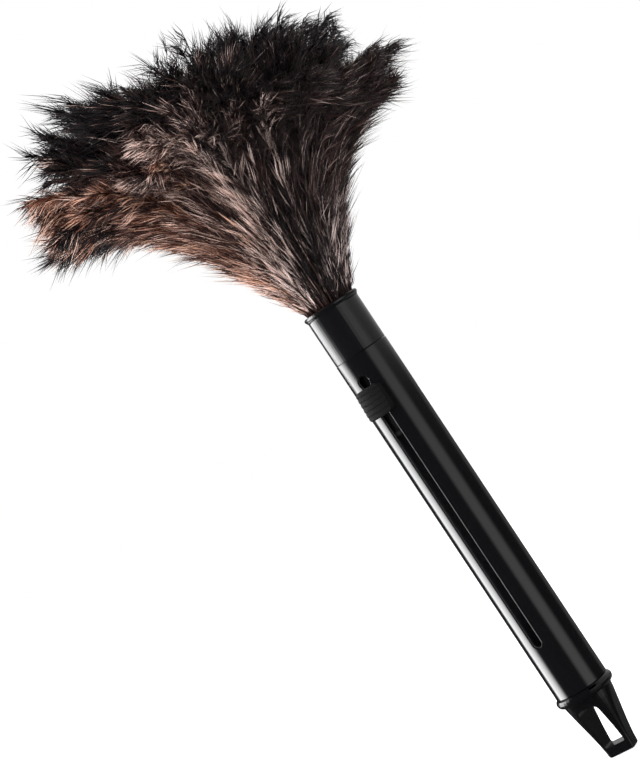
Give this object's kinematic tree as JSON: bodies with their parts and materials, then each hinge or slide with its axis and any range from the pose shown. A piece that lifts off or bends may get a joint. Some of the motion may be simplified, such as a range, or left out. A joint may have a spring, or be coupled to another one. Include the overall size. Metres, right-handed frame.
{
  "type": "retractable feather duster",
  "caption": "Hand duster whose feather plume is drawn into its tube handle by a thumb slider in a keyhole slot, with a hanging loop at the end.",
  "frame": {"origin": "middle of the hanging loop's bearing face, where a hook holds the duster", "axes": "+Z along the handle towards the plume, -Y out through the slot and its thumb button, X across the loop's opening"},
  "size_m": [0.1714, 0.1636, 0.3613],
  "materials": {
    "tube_plastic": "polished black moulding",
    "collar_plastic": "polished black moulding",
    "cap_plastic": "polished black moulding",
    "button_plastic": "satin black moulding",
    "carriage_plastic": "as moulded",
    "cup_plastic": "as moulded",
    "peg_wood": "plain",
    "wire_steel": "drawn",
    "feather_inner": "soft down, nearly black",
    "feather_middle": "soft down, dark brown",
    "feather_outer": "soft down, grey to red brown"
  },
  "bodies": {
    "handle": {"handle_tube": "tube_plastic", "nose_collar": "collar_plastic", "end_cap": "cap_plastic"},
    "slide": {"thumb_button": "button_plastic", "slide_carriage": "carriage_plastic", "quill_cup": "cup_plastic", "core_peg": "peg_wood", "binding_wire": "wire_steel", "feather_01": "feather_inner", "feather_02": "feather_inner", "feather_03": "feather_inner", "feather_04": "feather_inner", "feather_05": "feather_inner", "feather_06": "feather_inner", "feather_07": "feather_inner", "feather_08": "feather_inner", "feather_09": "feather_inner", "feather_10": "feather_inner", "feather_11": "feather_inner", "feather_12": "feather_inner", "feather_13": "feather_inner", "feather_14": "feather_inner", "feather_15": "feather_inner", "feather_16": "feather_middle", "feather_17": "feather_middle", "feather_18": "feather_middle", "feather_19": "feather_middle", "feather_20": "feather_middle", "feather_21": "feather_middle", "feather_22": "feather_middle", "feather_23": "feather_middle", "feather_24": "feather_middle", "feather_25": "feather_middle", "feather_26": "feather_middle", "feather_27": "feather_middle", "feather_28": "feather_outer", "feather_29": "feather_outer", "feather_30": "feather_outer", "feather_31": "feather_outer", "feather_32": "feather_outer", "feather_33": "feather_outer", "feather_34": "feather_outer", "feather_35": "feather_outer", "feather_36": "feather_outer", "feather_37": "feather_outer", "feather_38": "feather_outer", "feather_39": "feather_outer", "feather_40": "feather_outer", "feather_41": "feather_outer", "feather_42": "feather_outer"}
  },
  "joints": [
    {"name": "plume_slide", "type": "slide", "parent": "handle", "child": "slide", "axis": [0, 0, 1], "range_m": [-0.1228, 0.0092], "deforming": ["feather_01", "feather_02", "feather_03", "feather_04", "feather_05", "feather_06", "feather_07", "feather_08", "feather_09", "feather_10", "feather_11", "feather_12", "feather_13", "feather_14", "feather_15", "feather_16", "feather_17", "feather_18", "feather_19", "feather_20", "feather_21", "feather_22", "feather_23", "feather_24", "feather_25", "feather_26", "feather_27", "feather_28", "feather_29", "feather_30", "feather_31", "feather_32", "feather_33", "feather_34", "feather_35", "feather_36", "feather_37", "feather_38", "feather_39", "feather_40", "feather_41", "feather_42"]}
  ]
}
